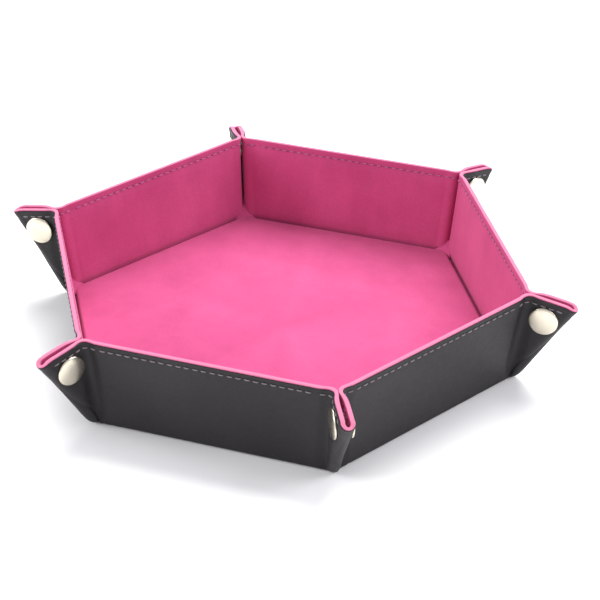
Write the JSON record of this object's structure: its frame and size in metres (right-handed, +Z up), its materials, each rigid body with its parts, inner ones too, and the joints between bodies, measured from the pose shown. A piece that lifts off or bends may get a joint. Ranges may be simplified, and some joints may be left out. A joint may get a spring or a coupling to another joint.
{
  "type": "folding dice tray",
  "caption": "Hexagonal folding dice tray: a lined sheet with stiffened floor and walls, its corners pinched into ears by press studs.",
  "frame": {"origin": "centre of the tray's outline, at the underside of the floor", "axes": "+Z up; the longest reach, from ear tip to opposite ear tip, along Y; flat walls face +X and -X"},
  "size_m": [0.2112, 0.2428, 0.0405],
  "materials": {
    "cover": "fine-grained black leatherette, satin",
    "lining": "pink suede with a short mottled nap",
    "board": "plain grey-brown board, hidden between the skins",
    "metal": "smooth nickel plating, warm sheen"
  },
  "bodies": {
    "base": {"base_cover": "cover", "base_lining": "lining", "base_board": "board"},
    "wall_1": {"wall_cover_1": "cover", "wall_lining_1": "lining", "wall_board_1": "board"},
    "wall_2": {"wall_cover_2": "cover", "wall_lining_2": "lining", "wall_board_2": "board"},
    "wall_3": {"wall_cover_3": "cover", "wall_lining_3": "lining", "wall_board_3": "board"},
    "wall_4": {"wall_cover_4": "cover", "wall_lining_4": "lining", "wall_board_4": "board"},
    "wall_5": {"wall_cover_5": "cover", "wall_lining_5": "lining", "wall_board_5": "board"},
    "wall_6": {"wall_cover_6": "cover", "wall_lining_6": "lining", "wall_board_6": "board"},
    "ear_1a": {"ear_cover_1a": "cover", "ear_lining_1a": "lining", "press_stud_1": "metal"},
    "ear_1b": {"ear_cover_1b": "cover", "ear_lining_1b": "lining", "press_socket_1": "metal"},
    "ear_2a": {"ear_cover_2a": "cover", "ear_lining_2a": "lining", "press_stud_2": "metal"},
    "ear_2b": {"ear_cover_2b": "cover", "ear_lining_2b": "lining", "press_socket_2": "metal"},
    "ear_3a": {"ear_cover_3a": "cover", "ear_lining_3a": "lining", "press_stud_3": "metal"},
    "ear_3b": {"ear_cover_3b": "cover", "ear_lining_3b": "lining", "press_socket_3": "metal"},
    "ear_4a": {"ear_cover_4a": "cover", "ear_lining_4a": "lining", "press_stud_4": "metal"},
    "ear_4b": {"ear_cover_4b": "cover", "ear_lining_4b": "lining", "press_socket_4": "metal"},
    "ear_5a": {"ear_cover_5a": "cover", "ear_lining_5a": "lining", "press_stud_5": "metal"},
    "ear_5b": {"ear_cover_5b": "cover", "ear_lining_5b": "lining", "press_socket_5": "metal"},
    "ear_6a": {"ear_cover_6a": "cover", "ear_lining_6a": "lining", "press_stud_6": "metal"},
    "ear_6b": {"ear_cover_6b": "cover", "ear_lining_6b": "lining", "press_socket_6": "metal"}
  },
  "joints": [
    {"name": "wall_1_fold", "type": "hinge", "parent": "base", "child": "wall_1", "pos_m": [0.04222, -0.07313, 0.00062], "axis": [0.866, 0.5, 0], "range_deg": [0, 83.5]},
    {"name": "wall_2_fold", "type": "hinge", "parent": "base", "child": "wall_2", "pos_m": [0.08444, 0, 0.00062], "axis": [0, 1, 0], "range_deg": [0, 83.5]},
    {"name": "wall_3_fold", "type": "hinge", "parent": "base", "child": "wall_3", "pos_m": [0.04222, 0.07313, 0.00062], "axis": [-0.866, 0.5, 0], "range_deg": [0, 83.5]},
    {"name": "wall_4_fold", "type": "hinge", "parent": "base", "child": "wall_4", "pos_m": [-0.04222, 0.07313, 0.00062], "axis": [-0.866, -0.5, 0], "range_deg": [0, 83.5]},
    {"name": "wall_5_fold", "type": "hinge", "parent": "base", "child": "wall_5", "pos_m": [-0.08444, 0, 0.00062], "axis": [0, -1, 0], "range_deg": [0, 83.5]},
    {"name": "wall_6_fold", "type": "hinge", "parent": "base", "child": "wall_6", "pos_m": [-0.04222, -0.07313, 0.00062], "axis": [0.866, -0.5, 0], "range_deg": [0, 83.5]},
    {"name": "ear_1a_fold", "type": "hinge", "parent": "wall_1", "child": "ear_1a", "pos_m": [0.0845, -0.05041, 0.01979], "axis": [0.113, -0.0652, 0.9915], "range_deg": [0, 60.21]},
    {"name": "ear_1b_fold", "type": "hinge", "parent": "wall_2", "child": "ear_1b", "pos_m": [0.08591, -0.04797, 0.01979], "axis": [-0.113, 0.0652, -0.9915], "range_deg": [0, 60.21]},
    {"name": "ear_2a_fold", "type": "hinge", "parent": "wall_2", "child": "ear_2a", "pos_m": [0.08591, 0.04797, 0.01979], "axis": [0.113, 0.0652, 0.9915], "range_deg": [0, 60.21]},
    {"name": "ear_2b_fold", "type": "hinge", "parent": "wall_3", "child": "ear_2b", "pos_m": [0.0845, 0.05041, 0.01979], "axis": [-0.113, -0.0652, -0.9915], "range_deg": [0, 60.21]},
    {"name": "ear_3a_fold", "type": "hinge", "parent": "wall_3", "child": "ear_3a", "pos_m": [0.00141, 0.09838, 0.01979], "axis": [0, 0.1304, 0.9915], "range_deg": [0, 60.21]},
    {"name": "ear_3b_fold", "type": "hinge", "parent": "wall_4", "child": "ear_3b", "pos_m": [-0.00141, 0.09838, 0.01979], "axis": [0, -0.1304, -0.9915], "range_deg": [0, 60.21]},
    {"name": "ear_4a_fold", "type": "hinge", "parent": "wall_4", "child": "ear_4a", "pos_m": [-0.0845, 0.05041, 0.01979], "axis": [-0.113, 0.0652, 0.9915], "range_deg": [0, 60.21]},
    {"name": "ear_4b_fold", "type": "hinge", "parent": "wall_5", "child": "ear_4b", "pos_m": [-0.08591, 0.04797, 0.01979], "axis": [0.113, -0.0652, -0.9915], "range_deg": [0, 60.21]},
    {"name": "ear_5a_fold", "type": "hinge", "parent": "wall_5", "child": "ear_5a", "pos_m": [-0.08591, -0.04797, 0.01979], "axis": [-0.113, -0.0652, 0.9915], "range_deg": [0, 60.21]},
    {"name": "ear_5b_fold", "type": "hinge", "parent": "wall_6", "child": "ear_5b", "pos_m": [-0.0845, -0.05041, 0.01979], "axis": [0.113, 0.0652, -0.9915], "range_deg": [0, 60.21]},
    {"name": "ear_6a_fold", "type": "hinge", "parent": "wall_6", "child": "ear_6a", "pos_m": [-0.00141, -0.09838, 0.01979], "axis": [0, -0.1304, 0.9915], "range_deg": [0, 60.21]},
    {"name": "ear_6b_fold", "type": "hinge", "parent": "wall_1", "child": "ear_6b", "pos_m": [0.00141, -0.09838, 0.01979], "axis": [0, 0.1304, -0.9915], "range_deg": [0, 60.21]}
  ],
  "couplings": [
    {"joint": "wall_2_fold", "follows": "wall_1_fold", "ratio": 1},
    {"joint": "wall_3_fold", "follows": "wall_1_fold", "ratio": 1},
    {"joint": "wall_4_fold", "follows": "wall_1_fold", "ratio": 1},
    {"joint": "wall_5_fold", "follows": "wall_1_fold", "ratio": 1},
    {"joint": "wall_6_fold", "follows": "wall_1_fold", "ratio": 1},
    {"joint": "ear_1a_fold", "follows": "wall_1_fold", "ratio": 0.72111},
    {"joint": "ear_1b_fold", "follows": "wall_1_fold", "ratio": 0.72111},
    {"joint": "ear_2a_fold", "follows": "wall_1_fold", "ratio": 0.72111},
    {"joint": "ear_2b_fold", "follows": "wall_1_fold", "ratio": 0.72111},
    {"joint": "ear_3a_fold", "follows": "wall_1_fold", "ratio": 0.72111},
    {"joint": "ear_3b_fold", "follows": "wall_1_fold", "ratio": 0.72111},
    {"joint": "ear_4a_fold", "follows": "wall_1_fold", "ratio": 0.72111},
    {"joint": "ear_4b_fold", "follows": "wall_1_fold", "ratio": 0.72111},
    {"joint": "ear_5a_fold", "follows": "wall_1_fold", "ratio": 0.72111},
    {"joint": "ear_5b_fold", "follows": "wall_1_fold", "ratio": 0.72111},
    {"joint": "ear_6a_fold", "follows": "wall_1_fold", "ratio": 0.72111},
    {"joint": "ear_6b_fold", "follows": "wall_1_fold", "ratio": 0.72111}
  ]
}
